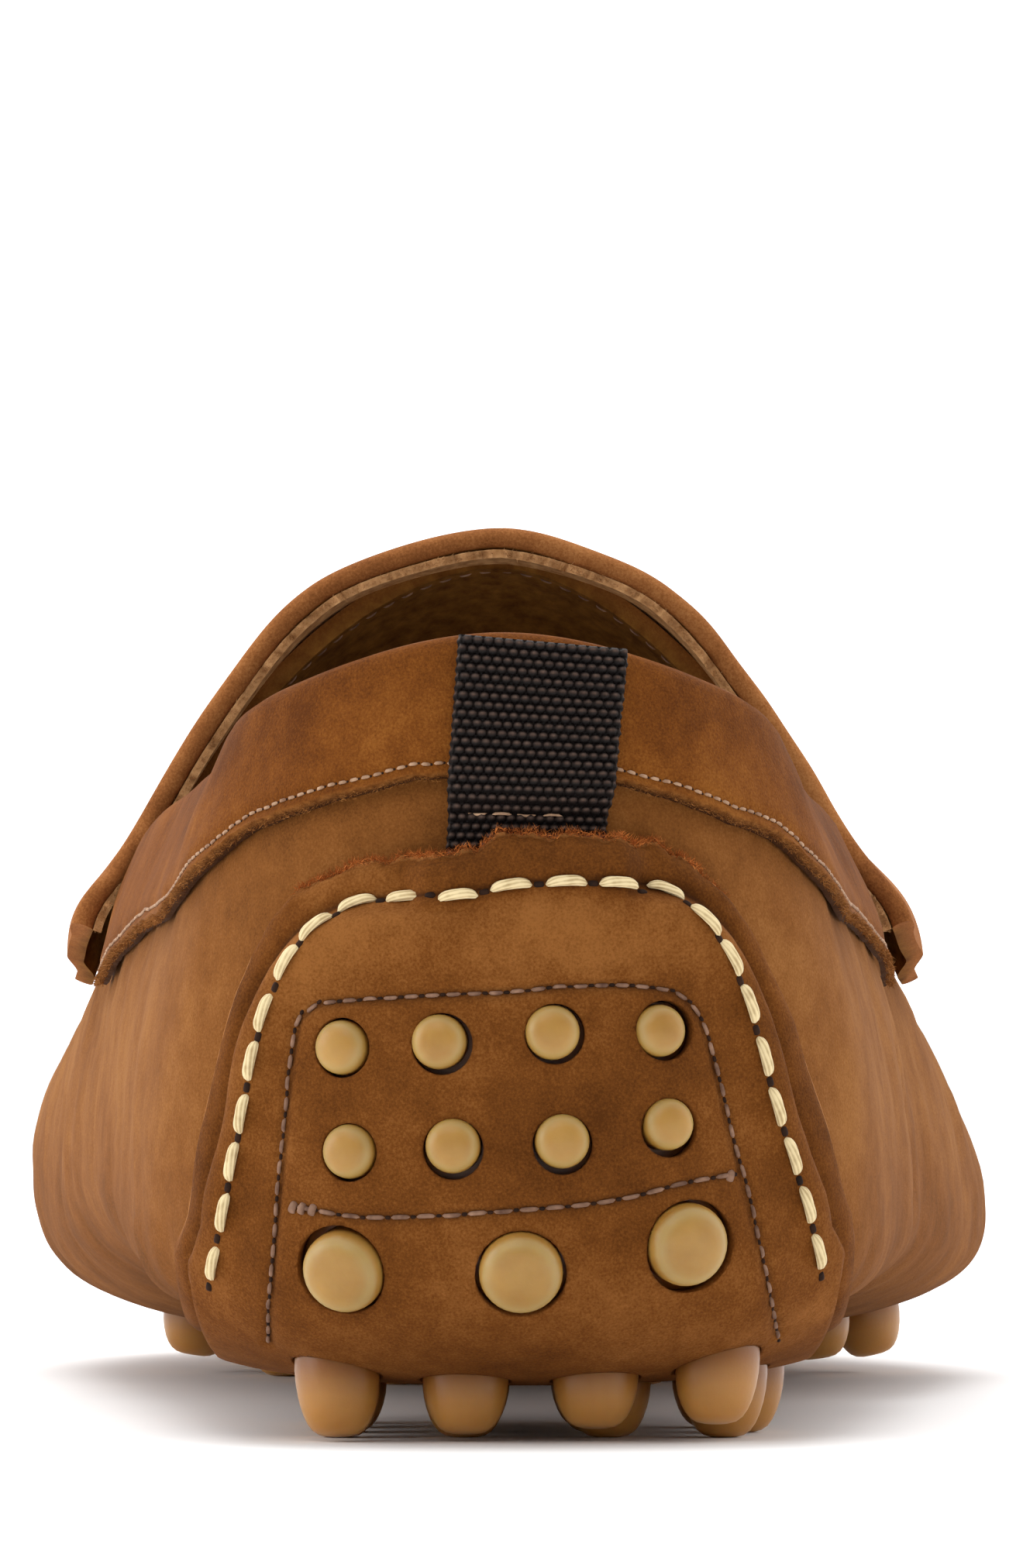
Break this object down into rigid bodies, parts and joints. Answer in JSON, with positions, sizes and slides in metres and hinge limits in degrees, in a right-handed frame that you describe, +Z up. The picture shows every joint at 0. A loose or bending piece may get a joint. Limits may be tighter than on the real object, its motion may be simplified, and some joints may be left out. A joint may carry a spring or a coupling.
{
  "type": "driving moccasin",
  "caption": "Right driving moccasin with a hand-sewn apron, saddle strap, webbing pull loop and rubber pebble sole that runs up the back of the heel.",
  "frame": {"origin": "centre of the shoe's box on the floor it stands on", "axes": "+Z up, +Y from heel to toe, +X to the outer side of this right shoe"},
  "size_m": [0.0994, 0.2866, 0.0851],
  "materials": {
    "nubuck": "matt tan nubuck",
    "strap_leather": "matt tan nubuck, smooth rolled edge",
    "gum_rubber": "smooth translucent gum rubber",
    "webbing": "dark brown woven webbing",
    "lining": "plain brown footbed"
  },
  "bodies": {
    "root": {"upper": "nubuck", "apron": "nubuck", "collar_band": "nubuck", "saddle_strap": "strap_leather", "heel_flap": "nubuck", "heel_rubber": "gum_rubber", "forefoot_rubber": "gum_rubber", "pull_loop": "webbing", "insole": "lining"}
  },
  "joints": []
}
